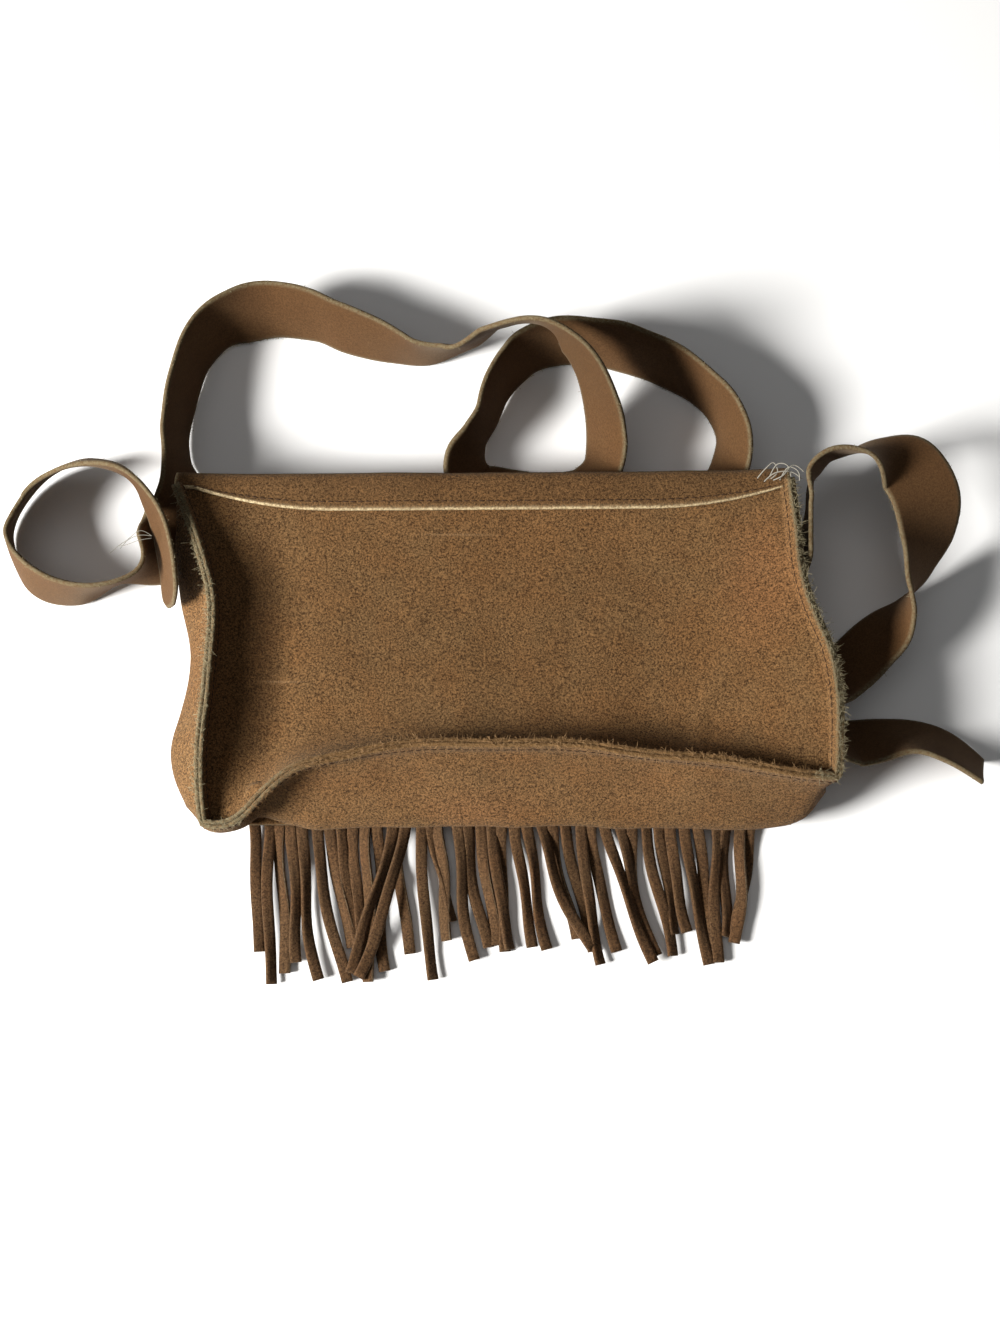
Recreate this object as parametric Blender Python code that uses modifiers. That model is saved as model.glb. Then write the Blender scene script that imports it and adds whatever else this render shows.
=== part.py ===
"""A fringed suede shoulder bag, lying empty on its front with its straps fanned out beside it.

The bag's back panel looks up and sags between its raw seams. The flap is sewn on the back panel near
its top edge, folds over that edge and runs down the front, which is underneath here. A gusset strip
joins the two panels down the left side, along the bottom and up the right side. The fringe is sewn
under the flap's hem and comes out below the bag. One strap is sewn on each side of the gusset.

Metres, +Z up. +X runs along the bag and +Y from its bottom to its top. The origin is on the flat of
the flap that rests on the table.
"""
import bpy
import numpy as np

MM = 0.001
COLLECTION = "fringed_suede_bag"

# Driving dimensions, in millimetres.
LEATHER = 2.0          # thickness of the panels, the gusset, the flap and the fringe
STRAP_THICK = 2.2
STRAP_WIDTH = 35.0
SEAM_GAP = 1.0         # what two pieces that are sewn together keep between them
TABLE_GAP = 0.6        # how far the straps stay above the table that the flap and the strands lie on
FLANGE = 7.0           # how far the raw edges stand out past the stitches
SAG = 19.0             # how far the back panel hangs below its seams
HEM_Y = -58.0          # the flap's lower end
FLAP_DEPTH = 12.0      # how far below the bag's top edge the flap is sewn on the back panel
STRANDS = 40
STRAND_PITCH = 6.0
STRAND_WIDTH = 4.9
STRAND_ROOT_Y = -61.0  # where the cuts of the fringe start
FRINGE_TOP_Y = -50.0
COLUMNS, ROWS = 25, 17   # points along the back panel's bottom seam and along its side seams
BULGE_AT = (0.0, 0.15, 0.3, 0.66, 0.76, 1.0)   # places along the gusset, from its left end
BULGE = (4.0, 4.0, 2.5, 2.0, -8.0, -8.0)       # how far it swells out there, or is drawn in

# The back panel's stitch line, from the top left corner down, along the bottom and up to the top right.
SEAM_LEFT = [(-151, 84, 41), (-142, 64, 42), (-136, 45, 43), (-131, 25, 44), (-130, 9, 44),
             (-131.5, -14, 44), (-134, -42, 43), (-132, -71, 38)]
SEAM_BOTTOM = [(-132, -71, 38), (-121, -71, 39), (-107, -61, 42), (-93, -52, 44.5), (-66, -46, 45),
               (-41, -43.5, 45), (0, -42.5, 45), (45, -44, 45), (90, -49, 45), (132, -55, 45),
               (150, -57, 44)]
SEAM_RIGHT = [(150, -57, 44), (151, -40, 44), (151, -22, 44), (148, 1, 44), (140, 25, 43),
              (136, 44, 42), (135, 64, 42), (134, 86, 41)]

# The front panel's stitch line, on the flap: from the top left down, along the bottom and up.
FRONT_LEFT = [(-148, 46), (-149, 28), (-143, 0), (-151, -46), (-146, -63)]
FRONT_BOTTOM = [(-138, -70), (0, -70), (137, -70)]
FRONT_RIGHT = [(144, -63), (139, -40), (136, 0), (134, 46)]
FRONT_Z = 7.2

# The straps: where the middle of the width is, then which way the width points.
LONG_STRAP = [
    ((-155.5, 27, 33), (0.35, 0, 0.94)),
    ((-158, 50, 37), (0.33, 0, 0.94)),
    ((-163.5, 70, 43), (0.3, -0.1, 0.95)),
    ((-178, 88, 45), (0.25, -0.3, 0.92)),
    ((-206, 97, 34), (0.1, -0.42, 0.9)),
    ((-230, 89, 20.5), (0.16, -0.36, 0.92)),
    ((-240, 67, 18), (0.22, -0.3, 0.93)),
    ((-230, 46, 17.5), (0.2, 0.1, 0.97)),
    ((-208, 36.5, 17), (0.05, 0.05, 0.99)),
    ((-186, 41, 15.5), (-0.12, -0.35, 0.92)),
    ((-170, 52, 10.5), (-0.6, -0.45, 0.58)),
    ((-161, 65, 8.8), (-0.84, -0.3, 0.42)),
    ((-157, 78, 9), (-0.82, -0.15, 0.5)),
    ((-156.5, 90, 13), (-0.5, -0.15, 0.85)),
    ((-158.5, 105, 17), (-0.17, -0.2, 0.96)),
    ((-160.5, 120, 17.5), (-0.15, -0.2, 0.96)),
    ((-157, 147, 17.5), (-0.22, -0.22, 0.94)),
    ((-152, 164, 17.5), (-0.25, -0.05, 0.96)),
    ((-141, 178, 17.5), (-0.3, 0.14, 0.94)),
    ((-130, 183, 17), (-0.34, 0.31, 0.89)),
    ((-115, 186, 16.5), (-0.23, 0.43, 0.87)),
    ((-95, 182.5, 17), (-0.17, 0.37, 0.91)),
    ((-80, 176, 17), (-0.14, 0.34, 0.93)),
    ((-60, 168.5, 17.5), (-0.09, 0.2, 0.97)),
    ((-40, 162, 19), (0.0, -0.1, 0.99)),
    ((-20, 162, 27), (0.0, -0.3, 0.95)),
    ((0, 164, 46), (0.0, -0.4, 0.92)),
    ((20, 160, 57.5), (-0.03, -0.4, 0.91)),
    ((36, 148, 55), (0.07, -0.14, 0.98)),
    ((47, 135, 38), (0.34, -0.37, 0.85)),
    ((52, 120.5, 22), (0.45, -0.33, 0.82)),
    ((51, 104, 16.5), (0.5, -0.25, 0.83)),
    ((44, 94, 12.5), (0.5, -0.55, 0.65)),
    ((31, 90.5, 10.4), (0.15, -0.8, 0.55)),
    ((15, 90, 10.2), (-0.05, -0.81, 0.54)),
    ((-2, 93, 11.2), (-0.35, -0.7, 0.58)),
    ((-14, 97, 13.5), (-0.6, -0.4, 0.7)),
    ((-15.5, 106, 15.5), (-0.55, -0.3, 0.78)),
    ((-12, 117, 16.5), (-0.36, -0.37, 0.86)),
    ((-7, 128, 16.5), (-0.32, -0.4, 0.86)),
    ((-1, 144, 17), (-0.34, -0.17, 0.92)),
    ((6, 155, 16.5), (-0.4, -0.1, 0.91)),
    ((14, 163, 16.5), (-0.42, 0.05, 0.9)),
    ((29, 168.5, 16.5), (-0.3, 0.25, 0.92)),
    ((55, 166.5, 17), (0.08, 0.26, 0.96)),
    ((71, 161.5, 17), (0.09, 0.23, 0.97)),
    ((87, 154, 17), (0.12, 0.17, 0.97)),
    ((101, 143.5, 17), (0.2, 0, 0.98)),
    ((110, 133, 17), (0.23, -0.06, 0.97)),
    ((115, 120, 16.5), (0.31, -0.2, 0.93)),
    ((114, 106, 15.5), (0.4, -0.25, 0.88)),
    ((110, 95, 13.5), (0.35, -0.5, 0.76)),
]
SHORT_STRAP = [
    ((144.5, 42, 28), (0.1, 0, 0.99)),
    ((147, 60, 28), (0.0, 0.05, 0.99)),
    ((149.5, 78, 31), (-0.1, 0.1, 0.98)),
    ((151, 92, 36), (-0.15, 0.05, 0.97)),
    ((157, 99, 40), (-0.12, -0.15, 0.97)),
    ((168, 101, 42), (-0.18, -0.28, 0.93)),
    ((181, 100.5, 43.5), (-0.36, -0.56, 0.74)),
    ((194, 93, 44), (-0.72, -0.68, 0.15)),
    ((202, 78, 43), (-0.88, -0.45, 0.1)),
    ((203.5, 62, 37), (-0.85, -0.35, 0.4)),
    ((202, 50, 31), (-0.66, -0.3, 0.7)),
    ((200, 40, 25), (-0.4, -0.3, 0.87)),
    ((195.5, 30, 20), (-0.05, -0.45, 0.9)),
    ((187, 20, 16.5), (0.25, -0.62, 0.75)),
    ((175, 8, 15), (0.32, -0.68, 0.66)),
    ((163, -5, 15), (0.35, -0.6, 0.72)),
    ((156.5, -17, 16), (0.3, -0.4, 0.87)),
    ((155, -27, 17.5), (0.05, -0.25, 0.97)),
    ((159, -35, 16.5), (-0.1, -0.5, 0.86)),
    ((168, -36, 14), (-0.15, -0.7, 0.68)),
    ((194, -33, 16), (-0.17, -0.56, 0.8)),
    ((211, -38, 16.5), (-0.37, -0.45, 0.8)),
    ((228, -50, 15.5), (-0.55, -0.15, 0.82)),
]

COLOURS = {"body": (0.235, 0.145, 0.075), "strap": (0.2, 0.12, 0.06), "fringe": (0.22, 0.14, 0.075)}


def clear_scene():
    """Removes whatever the scene holds."""
    for thing in list(bpy.data.objects):
        bpy.data.objects.remove(thing, do_unlink=True)


def suede(name, colour):
    """A matt material of that colour."""
    material = bpy.data.materials.new(name)
    material.use_nodes = True
    shader = material.node_tree.nodes["Principled BSDF"]
    shader.inputs["Base Color"].default_value = (*colour, 1.0)
    shader.inputs["Roughness"].default_value = 0.95
    shader.inputs["Metallic"].default_value = 0.0
    return material


def smooth_curve(points, count):
    """A smooth curve through the points, read at evenly spaced places. Any number of values a point."""
    points = np.asarray(points, float)
    steps = np.linalg.norm(np.diff(points[:, :3], axis=0), axis=1) ** 0.5
    knots = np.concatenate([[0.0], np.cumsum(steps)])
    slopes = np.diff(points, axis=0) / steps[:, None]
    tangents = np.empty_like(points)
    tangents[1:-1] = (slopes[:-1] * steps[1:, None] + slopes[1:] * steps[:-1, None]) / (
        steps[1:] + steps[:-1])[:, None]
    tangents[0] = 1.5 * slopes[0] - 0.5 * tangents[1]
    tangents[-1] = 1.5 * slopes[-1] - 0.5 * tangents[-2]

    def read(at):
        i = np.clip(np.searchsorted(knots, at, side="right") - 1, 0, len(knots) - 2)
        w = ((at - knots[i]) / steps[i])[:, None]
        h = steps[i][:, None]
        return ((2 * w**3 - 3 * w**2 + 1) * points[i] + (w**3 - 2 * w**2 + w) * h * tangents[i]
                + (3 * w**2 - 2 * w**3) * points[i + 1] + (w**3 - w**2) * h * tangents[i + 1])

    fine = np.linspace(0.0, knots[-1], 3000)
    places = read(fine)[:, :3]
    length = np.concatenate([[0.0], np.cumsum(np.linalg.norm(np.diff(places, axis=0), axis=1))])
    return read(np.interp(np.linspace(0.0, length[-1], count), length, fine))


def grid_faces(rows, columns):
    """The quads of a grid of points that are listed row by row."""
    index = np.arange(rows * columns).reshape(rows, columns)
    faces = np.stack([index[:-1, :-1], index[:-1, 1:], index[1:, 1:], index[1:, :-1]], -1)
    return faces.reshape(-1, 4)


def sheet(name, grid, thickness, material):
    """A closed sheet: an open grid of points (rows, columns, xyz, in mm) with Solidify on it."""
    return solidified(name, grid.reshape(-1, 3), grid_faces(*grid.shape[:2]), thickness, material)


def solidified(name, points, faces, thickness, material):
    """A closed sheet from its middle surface, which may have any outline."""
    mesh = bpy.data.meshes.new(name)
    mesh.from_pydata((np.asarray(points) * MM).tolist(), [], faces.tolist())
    mesh.shade_smooth()
    mesh.materials.append(material)
    thing = bpy.data.objects.new(name, mesh)
    bpy.data.collections[COLLECTION].objects.link(thing)
    wall = thing.modifiers.new("leather", "SOLIDIFY")
    wall.thickness = thickness * MM
    wall.offset = 0.0
    wall.use_even_offset = True
    wall.use_quality_normals = True
    return thing



def flatten(value, power):
    """0 at both ends of 0..1 and 1 in the middle, with steeper shoulders as the power grows."""
    return 1.0 - np.abs(2.0 * value - 1.0) ** power


def back_panel_surface(columns, rows):
    """The panel between its stitch lines: a patch between the left, right, bottom and top lines,
    lowered in the middle by the sag. Rows run from the bottom up."""
    left = smooth_curve(SEAM_LEFT[::-1], rows)
    right = smooth_curve(SEAM_RIGHT, rows)
    bottom = smooth_curve(SEAM_BOTTOM, columns)
    top = np.linspace(left[-1], right[-1], columns)
    u = np.linspace(0, 1, columns)[None, :, None]
    v = np.linspace(0, 1, rows)[:, None, None]
    ruled = (1 - u) * left[:, None] + u * right[:, None]
    raised = (1 - v) * bottom[None] + v * top[None]
    corners = ((1 - u) * (1 - v) * left[0] + u * (1 - v) * right[0]
               + (1 - u) * v * left[-1] + u * v * right[-1])
    patch = ruled + raised - corners
    depth = SAG * flatten(u, 4.0) * (1 - v**3.2) * np.minimum(1.0, v / 0.16) ** 0.8
    patch[..., 2] -= depth[..., 0]
    patch[..., 2] -= 4.0 * (flatten(u, 6.0) * v**3.2)[..., 0]
    return patch


def mitred(line):
    """Square out from a line that runs round the bag, seen from above, and longer at a corner, so that
    a line moved out by it keeps its distance."""
    across = np.diff(line, axis=0)
    across = np.stack([across[:, 1], -across[:, 0], 0 * across[:, 0]], 1)
    across /= np.linalg.norm(across, axis=1)[:, None]
    across = np.concatenate([across[:1], across, across[-1:]])
    before, after = across[:-1], across[1:]
    return (before + after) / (1 + (before * after).sum(1))[:, None]


def seam_run():
    """The back seam's stitch line in one run, which way is out from the bag along it, and which way
    its raw edges stand: the sides' lean out and the bottom's leans in over the panel."""
    left = smooth_curve(SEAM_LEFT, ROWS)
    bottom = smooth_curve(SEAM_BOTTOM, COLUMNS)
    right = smooth_curve(SEAM_RIGHT, ROWS)
    line = np.concatenate([left, bottom[1:], right[1:]])
    out = mitred(line)
    tilt = np.where(out[:, 0] > 0, 0.62, 0.36) * np.abs(out[:, 0]) - 0.25 * np.clip(-out[:, 1], 0, 1)
    stand = out * tilt[:, None] + [0.0, 0.0, 1.0]
    for _ in range(4):
        stand[1:-1] = (stand[:-2] + stand[1:-1] + stand[2:]) / 3
    stand /= np.linalg.norm(stand, axis=1)[:, None]
    return line, out, stand


def make_back_panel(material):
    """The sagging patch and, past its stitches, the raw edge that stands up."""
    patch = back_panel_surface(COLUMNS, ROWS)
    line, out, stand = seam_run()
    index = np.arange(ROWS * COLUMNS).reshape(ROWS, COLUMNS)
    border = np.concatenate([index[::-1, 0], index[0, 1:], index[1:, -1]])
    rim = index.size + np.arange(len(line))
    flange = np.stack([border[:-1], rim[:-1], rim[1:], border[1:]], -1)
    points = np.concatenate([patch.reshape(-1, 3), line + FLANGE * stand])
    faces = np.concatenate([grid_faces(ROWS, COLUMNS), flange])
    return solidified("back_panel", points, faces, LEATHER, material)


def front_run():
    """The front panel's stitch line with as many points on each side as the back seam has."""
    left = smooth_curve([(x, y, 0) for x, y in FRONT_LEFT], ROWS - 1)
    bottom = smooth_curve([(x, y, 0) for x, y in FRONT_BOTTOM], COLUMNS)
    right = smooth_curve([(x, y, 0) for x, y in FRONT_RIGHT], ROWS - 1)
    line = np.concatenate([left, bottom, right])
    return line + [0.0, 0.0, FRONT_Z]


def make_gusset(material):
    """One strip: across its width it stands up as the back seam's flange, falls to the front seam with
    a slight belly and lies out as the front seam's flange."""
    line, out, stand = seam_run()
    away = out - (out * stand).sum(1)[:, None] * stand
    away *= (np.linalg.norm(out, axis=1) / np.linalg.norm(away, axis=1))[:, None]
    clear = LEATHER + SEAM_GAP
    top = line + away * clear
    low = front_run() + [0, 0, clear]
    bulge = np.interp(np.linspace(0, 1, len(line)), BULGE_AT, BULGE)
    rows = [top + FLANGE * stand, top + 0.45 * FLANGE * stand, top]
    for t in (0.15, 0.32, 0.5, 0.68, 0.85):
        rows.append((1 - t) * top + t * low + out * (bulge * np.sin(np.pi * t))[:, None])
    low_out = mitred(low)
    rows.append(low + low_out * 0.5 + [0, 0, 0.8])
    rows.append(low + low_out * 2.5)
    rows.append(low + low_out * FLANGE)
    return sheet("gusset", np.stack(rows, 1), LEATHER, material)


def make_front_panel(material):
    """Flat, with a margin at the sides and the bottom that lies under the gusset's lower flange."""
    line = front_run()
    left, right = line[:ROWS - 1][::-1], line[1 - ROWS:]
    u = np.linspace(0, 1, 13)[None, :, None]
    reach = [FLANGE, 0, 0]
    grid = (1 - u) * (left[:, None] - reach) + u * (right[:, None] + reach)
    grid[0, :, 1] = FRONT_BOTTOM[0][1] - FLANGE
    return sheet("front_panel", grid, LEATHER, material)


def flap_profile():
    """Across the flap from its sewn edge, over the bag's top edge and down to the table: how far
    along y and how far down in z."""
    return [(0, 0), (6, 0.4), (12, 0.6), (16.5, -0.4), (18.4, -3.6), (16, -7.5), (9, -11.5),
            (1, -15.5), (-7, -20.5), (-14, -27.5), (-20, -33), (-28, -36.5)]


def make_flap(material):
    """Sewn edge, fold and slope follow the bag's top edge, and the rest lies flat to the hem."""
    top = back_panel_surface(COLUMNS, ROWS)[-1]
    u = np.linspace(0.035, 0.965, COLUMNS)
    even = np.linspace(0, 1, COLUMNS)
    line = np.stack([np.interp(u, even, top[:, axis]) for axis in range(3)], 1)
    side = np.abs(2 * u - 1) ** 5
    rest = LEATHER / 2
    height = line[:, 2] + LEATHER + 0.9
    rows = []
    for step, (y, drop) in enumerate(flap_profile()):
        row = line.copy()
        row[:, 1] += y - FLAP_DEPTH + (5.0 * side if step == 0 else 0.0)
        row[:, 2] = rest + (height - rest) * (1 + drop / 36.5)
        rows.append(row)
    last = rows[-1]
    for t in np.linspace(0, 1, 6)[1:]:
        row = last.copy()
        row[:, 0] *= 1 - 0.17 * t
        row[:, 1] = (1 - t) * last[:, 1] + t * HEM_Y
        rows.append(row)
    return sheet("flap", np.stack(rows, 0)[:, ::-1], LEATHER, material)


def strand_tip(number):
    """Where a strand's end lies, from its root: a plain fan with uneven lengths."""
    side = (number - (STRANDS - 1) / 2) * 0.1
    length = 73 + 8 * np.sin(number * 2.3) + 5 * np.sin(number * 0.9 + 1)
    return side, -length


def make_fringe(material):
    """A strip whose lower part is cut into strands. The strip lies on the flap's hem, and the strands
    come down to the table past it."""
    points, faces = [], []
    steps = 7
    for number in range(STRANDS):
        x = (number - (STRANDS - 1) / 2) * STRAND_PITCH
        half = STRAND_WIDTH / 2
        side, drop = strand_tip(number)
        base = len(points)
        high = LEATHER * 1.5 + SEAM_GAP
        for step in range(steps + 1):
            t = step / steps
            y = STRAND_ROOT_Y + drop * t
            z = high if step == 0 else max(LEATHER / 2, high - 14.0 * t)
            centre = x + side * t * t
            points += [(centre - half, y, z), (centre + half, y, z)]
            if step:
                a = base + 2 * step
                faces.append((a - 2, a, a + 1, a - 1))
    band = len(points)
    edges = np.array([[(n - (STRANDS - 1) / 2) * STRAND_PITCH - STRAND_WIDTH / 2,
                       (n - (STRANDS - 1) / 2) * STRAND_PITCH + STRAND_WIDTH / 2]
                      for n in range(STRANDS)]).ravel()
    high = LEATHER * 1.5 + SEAM_GAP
    points += [(x, FRINGE_TOP_Y, high) for x in edges]
    points += [(x, STRAND_ROOT_Y + 2.0, high) for x in edges]
    wide = len(edges)
    for n in range(wide - 1):
        faces.append((band + n, band + wide + n, band + wide + n + 1, band + n + 1))
    for number in range(STRANDS):
        root = number * 2 * (steps + 1)
        above = band + wide + 2 * number
        faces.append((above, root, root + 1, above + 1))
    return solidified("fringe", points, np.array(faces), LEATHER, material)


def widened(values, reach):
    """The largest value within reach of each place, then a running mean over as far."""
    padded = np.pad(values, 2 * reach, mode="edge")
    highest = np.lib.stride_tricks.sliding_window_view(padded, 2 * reach + 1).max(1)
    return np.lib.stride_tricks.sliding_window_view(highest, 2 * reach + 1).mean(1)


def strap_grid(stations, count, width):
    """A flat strap: the middle line carries a width direction that is kept square to the line, and
    no part of it is below the table."""
    rows = [(*middle, *np.array(across) / np.linalg.norm(across)) for middle, across in stations]
    curve = smooth_curve(rows, count)
    middle, across = curve[:, :3], curve[:, 3:]
    along = np.gradient(middle, axis=0)
    along /= np.linalg.norm(along, axis=1)[:, None]
    across = across - (across * along).sum(1)[:, None] * along
    across /= np.linalg.norm(across, axis=1)[:, None]
    grid = np.stack([middle + across * width * t for t in (-0.5, -0.17, 0.17, 0.5)], 1)
    sunk = np.clip(STRAP_THICK / 2 + TABLE_GAP - grid[..., 2].min(1), 0, None)
    grid[..., 2] += widened(sunk, count // 40)[:, None]
    return grid


def make_strap(name, stations, count, material):
    """A strap along its stations, with that many points along its length."""
    return sheet(name, strap_grid(stations, count, STRAP_WIDTH), STRAP_THICK, material)


def build():
    """The whole bag, in its own collection."""
    clear_scene()
    collection = bpy.data.collections.new(COLLECTION)
    bpy.context.scene.collection.children.link(collection)
    make_back_panel(suede("suede_back", COLOURS["body"]))
    make_front_panel(suede("suede_front", COLOURS["body"]))
    make_gusset(suede("suede_gusset", COLOURS["body"]))
    make_flap(suede("suede_flap", COLOURS["body"]))
    make_fringe(suede("suede_fringe", COLOURS["fringe"]))
    make_strap("long_strap", LONG_STRAP, 130, suede("suede_long_strap", COLOURS["strap"]))
    make_strap("short_strap", SHORT_STRAP, 60, suede("suede_short_strap", COLOURS["strap"]))


build()
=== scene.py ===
# %% [markdown]
# # A fringed suede bag, lying on its front
#
# The bag is a handful of flat pieces of suede, sewn together with the raw edges outside, so
# nearly everything here is a thin sheet that bends. Each sheet is worked out as a surface of
# two parameters, then given two faces and a rim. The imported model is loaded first: it says
# where everything lies, and the new pieces ride on its one body.

import bpy
import numpy as np
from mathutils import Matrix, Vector


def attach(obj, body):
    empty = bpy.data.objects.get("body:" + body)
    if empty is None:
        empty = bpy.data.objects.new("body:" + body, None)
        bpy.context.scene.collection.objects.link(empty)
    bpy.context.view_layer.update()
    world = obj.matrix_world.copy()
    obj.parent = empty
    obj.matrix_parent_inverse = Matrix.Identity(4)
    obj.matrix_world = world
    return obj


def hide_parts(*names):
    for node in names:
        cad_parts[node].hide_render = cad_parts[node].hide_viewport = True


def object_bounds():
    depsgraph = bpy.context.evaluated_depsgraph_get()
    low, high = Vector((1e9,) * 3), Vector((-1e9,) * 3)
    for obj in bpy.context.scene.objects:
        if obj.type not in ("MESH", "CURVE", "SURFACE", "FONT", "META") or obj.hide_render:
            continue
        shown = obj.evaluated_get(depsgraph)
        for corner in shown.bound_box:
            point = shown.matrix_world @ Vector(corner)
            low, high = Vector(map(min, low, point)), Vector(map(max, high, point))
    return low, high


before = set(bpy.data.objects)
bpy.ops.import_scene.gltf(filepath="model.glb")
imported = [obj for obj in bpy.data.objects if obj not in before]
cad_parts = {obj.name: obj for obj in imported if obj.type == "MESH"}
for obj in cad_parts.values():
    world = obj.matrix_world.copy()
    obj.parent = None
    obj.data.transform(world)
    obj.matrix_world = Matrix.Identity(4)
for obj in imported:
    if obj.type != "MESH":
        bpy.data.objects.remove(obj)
cad_box = [list(corner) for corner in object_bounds()]
MM = 0.001
BODY = "root"
print("nodes:", sorted(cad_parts))

# %% [markdown]
# The camera looks down on the bag from nearly straight above, a little from the fringe's side.
# It aims at a point inside the bag, 25 mm above the table. The lens is worked out from how many
# image widths one metre fills at one metre away, and from the picture's shape.

# %% Camera
WIDTH_TO_HEIGHT = 100 / 133        # the picture's shape
ELEVATION = np.radians(77.0)
DISTANCE = 0.75
FOCUS = 1.58                       # image widths that one metre fills, at one metre away
SENSOR = 36.0
AIM = Vector((0.0, 0.0, 0.025))

camera = bpy.data.objects.new("camera", bpy.data.cameras.new("camera"))
bpy.context.collection.objects.link(camera)
camera.location = AIM + DISTANCE * Vector((0.0, -np.cos(ELEVATION), np.sin(ELEVATION)))
camera.rotation_euler = (np.pi / 2 - ELEVATION, 0.0, 0.0)
camera.data.sensor_width = SENSOR
camera.data.lens = SENSOR * FOCUS * WIDTH_TO_HEIGHT
camera.data.clip_start = 0.01
bpy.context.scene.camera = camera
print("camera at", [round(v, 3) for v in camera.location], "lens", round(camera.data.lens, 1))

# %% [markdown]
# Most of the light is one soft window from the left, fairly low, which leaves the faces looking
# right in deep shadow. A weak ceiling light and a weak white world keep the shadows open.

# %% Lights, world and floor


def area_light(name, place, size, watts, colour):
    """A square area light of that size in metres, at that place, turned to the bag."""
    data = bpy.data.lights.new(name, "AREA")
    data.size = size
    data.energy = watts
    data.color = colour
    lamp = bpy.data.objects.new(name, data)
    lamp.location = place
    lamp.rotation_euler = (AIM - Vector(place)).to_track_quat("-Z", "Y").to_euler()
    bpy.context.collection.objects.link(lamp)


def new_material(name, settings):
    """A material whose shader has these sockets set."""
    material = bpy.data.materials.new(name)
    material.use_nodes = True
    shader = material.node_tree.nodes["Principled BSDF"]
    for key, value in settings.items():
        shader.inputs[key].default_value = value
    return material


def plain_world(strength):
    """An even white sky of that strength."""
    world = bpy.data.worlds.new("studio")
    bpy.context.scene.world = world
    world.use_nodes = True
    sky = world.node_tree.nodes["Background"]
    sky.inputs["Color"].default_value = (1.0, 1.0, 1.0, 1.0)
    sky.inputs["Strength"].default_value = strength


area_light("window", (-1.3, -0.45, 0.95), 0.5, 86.0, (1.0, 0.985, 0.96))
area_light("ceiling", (-0.2, 0.1, 1.9), 1.6, 4.0, (1.0, 1.0, 1.0))
plain_world(0.08)
bpy.context.scene.view_settings.view_transform = "Standard"

FLOOR_REACH = 6.0
FLOOR_DROP = 0.0002                # how far the floor lies under the bag, in metres
floor_mesh = bpy.data.meshes.new("floor")
corners = [(x * FLOOR_REACH, y * FLOOR_REACH, 0) for x, y in ((-1, -1), (1, -1), (1, 1), (-1, 1))]
floor_mesh.from_pydata(corners, [], [(0, 1, 2, 3)])
floor = bpy.data.objects.new("floor", floor_mesh)
floor.location.z = cad_box[0][2] - FLOOR_DROP
bpy.context.collection.objects.link(floor)
floor_paint = new_material("pale_floor", {"Base Color": (0.86, 0.86, 0.855, 1.0), "Roughness": 0.9})
floor_mesh.materials.append(floor_paint)
print("floor at z", round(floor.location.z, 4))

# %% [markdown]
# ## Sheets
#
# A sheet starts as its middle surface. Its two faces lie half a thickness to each side along the
# surface's own normals, and a rounded rim joins them. One number a point, `cut`, says how near
# the point is to a raw cut edge: the suede's finish turns paler and fuzzier there. Writing the
# closed skin ourselves, rather than with Solidify, is what lets the rim carry that number.

# %% Grids of faces and smooth curves


def grid_faces(rows, columns, closed=False):
    """Quads of a grid of points, rows by columns. A closed grid joins its last column to its first."""
    index = np.arange(rows * columns).reshape(rows, columns)
    if closed:
        index = np.concatenate([index, index[:, :1]], 1)
    quads = np.stack([index[:-1, :-1], index[:-1, 1:], index[1:, 1:], index[1:, :-1]], -1)
    return quads.reshape(-1, 4)


def unit(vectors):
    """The same directions with length one."""
    return vectors / np.maximum(np.linalg.norm(vectors, axis=-1, keepdims=True), 1e-9)


def hermite(w, start, end, start_slope, end_slope):
    """A cubic from start to end at w from 0 to 1: (2w^3 - 3w^2 + 1) start + (w^3 - 2w^2 + w) its
    slope + (3w^2 - 2w^3) end + (w^3 - w^2) its slope. Slopes are per unit of w."""
    return ((2 * w**3 - 3 * w**2 + 1) * start + (w**3 - 2 * w**2 + w) * start_slope
            + (3 * w**2 - 2 * w**3) * end + (w**3 - w**2) * end_slope)


def lengths_along(line):
    """How far each point of a line lies from its start: the running sum of the steps' lengths."""
    return np.concatenate([[0], np.cumsum(np.linalg.norm(np.diff(line, axis=0), axis=1))])


CURVE_STEPS = 4000


def smooth_curve(points, count):
    """Points evenly spaced along a cubic through the given points. Each stretch is a Hermite cubic:
    its ends' slopes are weighted means of the chords beside them."""
    points = np.asarray(points, float)
    steps = np.linalg.norm(np.diff(points[:, :3], axis=0), axis=1) ** 0.5
    knots = np.concatenate([[0.0], np.cumsum(steps)])
    slopes = np.diff(points, axis=0) / steps[:, None]
    tangents = np.empty_like(points)
    tangents[1:-1] = (slopes[:-1] * steps[1:, None] + slopes[1:] * steps[:-1, None]) / (
        steps[1:] + steps[:-1])[:, None]
    tangents[0] = 1.5 * slopes[0] - 0.5 * tangents[1]
    tangents[-1] = 1.5 * slopes[-1] - 0.5 * tangents[-2]

    def read(at):
        """The curve at places measured in knots."""
        i = np.clip(np.searchsorted(knots, at, side="right") - 1, 0, len(knots) - 2)
        w = ((at - knots[i]) / steps[i])[:, None]
        h = steps[i][:, None]
        return hermite(w, points[i], points[i + 1], h * tangents[i], h * tangents[i + 1])

    fine = np.linspace(0.0, knots[-1], CURVE_STEPS)
    places = read(fine)[:, :3]
    length = lengths_along(places)
    return read(np.interp(np.linspace(0.0, length[-1], count), length, fine))


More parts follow.
